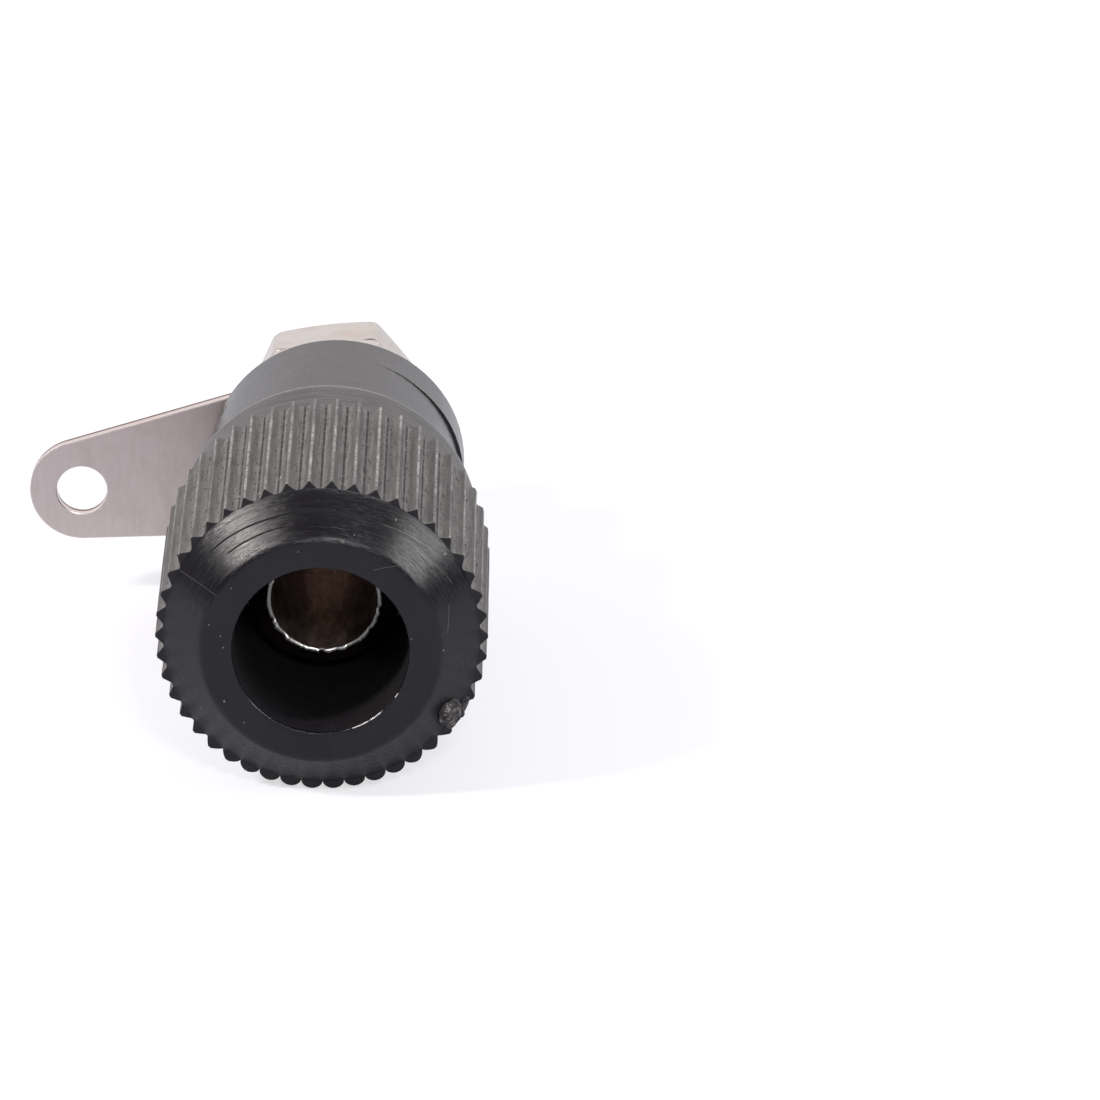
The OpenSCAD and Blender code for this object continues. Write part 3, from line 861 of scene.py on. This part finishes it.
def bushings():
    """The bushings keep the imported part's own meshes and only get their plastic."""
    for name in ("front_bushing", "rear_bushing"):
        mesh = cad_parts[name].data
        mesh.materials.clear()
        mesh.materials.append(MAT_BUSHING)


knob()
gate_vestige()
post()
torn_rim()
insert()
washer()
nut("clamp_nut", 41, 0.98, 1.1)
nut("lock_nut", 42, 1.1, 0.98)
lug()
bushings()


# ---------------------------------------------------------------- stage, light and camera
def floor():
    """A pale floor that cameras, glass and metal see as white, dimmer in front, and that keeps the shadow."""
    mesh = bpy.data.meshes.new("floor")
    gap, half, glow = 0.00005, 3.0, 0.62
    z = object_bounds()[0].z - gap
    corners = [(-half, -half, z), (half, -half, z), (half, half, z), (-half, half, z)]
    mesh.from_pydata(corners, [], [[0, 1, 2, 3]])
    obj = bpy.data.objects.new("floor", mesh)
    bpy.context.scene.collection.objects.link(obj)
    s = Shader("floor_paper", Roughness=0.9)
    s.color((0.42, 0.42, 0.47))
    s.bsdf.inputs["Specular IOR Level"].default_value = 0.1
    rays = s.node("ShaderNodeLightPath")
    mirrored = s.math("MAXIMUM", rays.outputs["Is Glossy Ray"], rays.outputs["Is Transmission Ray"])
    mirrored = s.times(mirrored, s.band(s.y, -25, 15, 0.1, 1.0))
    shown = s.math("MAXIMUM", rays.outputs["Is Camera Ray"], mirrored)
    s.bsdf.inputs["Emission Color"].default_value = (1, 1, 1, 1)
    s.link(s.times(shown, glow), s.bsdf.inputs["Emission Strength"])
    mesh.materials.append(s.material)
    obj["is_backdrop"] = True


def studio():
    """A white surround behind the object and a darker room in front of it, tinted by height.
    The camera sees white all round."""
    world = bpy.data.worlds.new("studio")
    bpy.context.scene.world = world
    world.use_nodes = True
    world.node_tree.nodes.clear()
    s = Nodes(world.node_tree)
    split = s.node("ShaderNodeSeparateXYZ")
    s.link(s.node("ShaderNodeTexCoord").outputs["Generated"], split.inputs[0])
    to_camera = s.node("ShaderNodeLightPath").outputs["Is Camera Ray"]
    strength = s.math("MAXIMUM", to_camera, s.band(split.outputs["Y"], 0.05, 0.7, 0.19, 1.2))
    tint = s.mix(s.band(split.outputs["Z"], -0.05, 0.4), (0.93, 0.92, 1.0), (1.0, 0.965, 0.965))
    sky = s.node("ShaderNodeBackground")
    s.link(s.mix(to_camera, tint, (1, 1, 1)), sky.inputs["Color"])
    s.link(strength, sky.inputs["Strength"])
    s.link(sky.outputs[0], s.node("ShaderNodeOutputWorld").inputs[0])


def softbox(name, direction, width, height, radiance, color=(1, 1, 1)):
    """A lamp that stands in a direction from the knob's middle and faces it."""
    lamp = bpy.data.lights.new(name, "AREA")
    lamp.color = color
    lamp.shape, lamp.size, lamp.size_y = "RECTANGLE", width, height
    lamp.energy = radiance * math.pi * width * height
    obj = bpy.data.objects.new(name, lamp)
    towards = Vector(direction).normalized()
    aim, distance = Vector((0, -0.008, 0)), 0.35
    obj.location = aim + towards * distance
    obj.rotation_euler = towards.to_track_quat("Z", "Y").to_euler()
    bpy.context.scene.collection.objects.link(obj)


def camera():
    """A long lens from in front and above, with the black post left of the picture's middle."""
    data = bpy.data.cameras.new("camera")
    data.sensor_width, data.lens = 36.0, 262.04727
    data.clip_start, data.clip_end = 0.01, 10.0
    obj = bpy.data.objects.new("camera", data)
    obj.location = (0.00853, -0.2925, 0.1148)
    obj.rotation_euler = (math.radians(68.04), 0, 0)
    bpy.context.scene.collection.objects.link(obj)
    bpy.context.scene.camera = obj


floor()
studio()
softbox("softbox_left", (-0.71, -0.31, 0.64), 0.04, 0.065, 110.0, (1, 0.955, 0.93))
softbox("softbox_right", (0.82, -0.27, 0.5), 0.12, 0.15, 9.5)
softbox("lamp_front", (0.15, -0.8, 0.58), 0.05, 0.04, 56.0)
camera()
bpy.context.scene.view_settings.view_transform = "Standard"
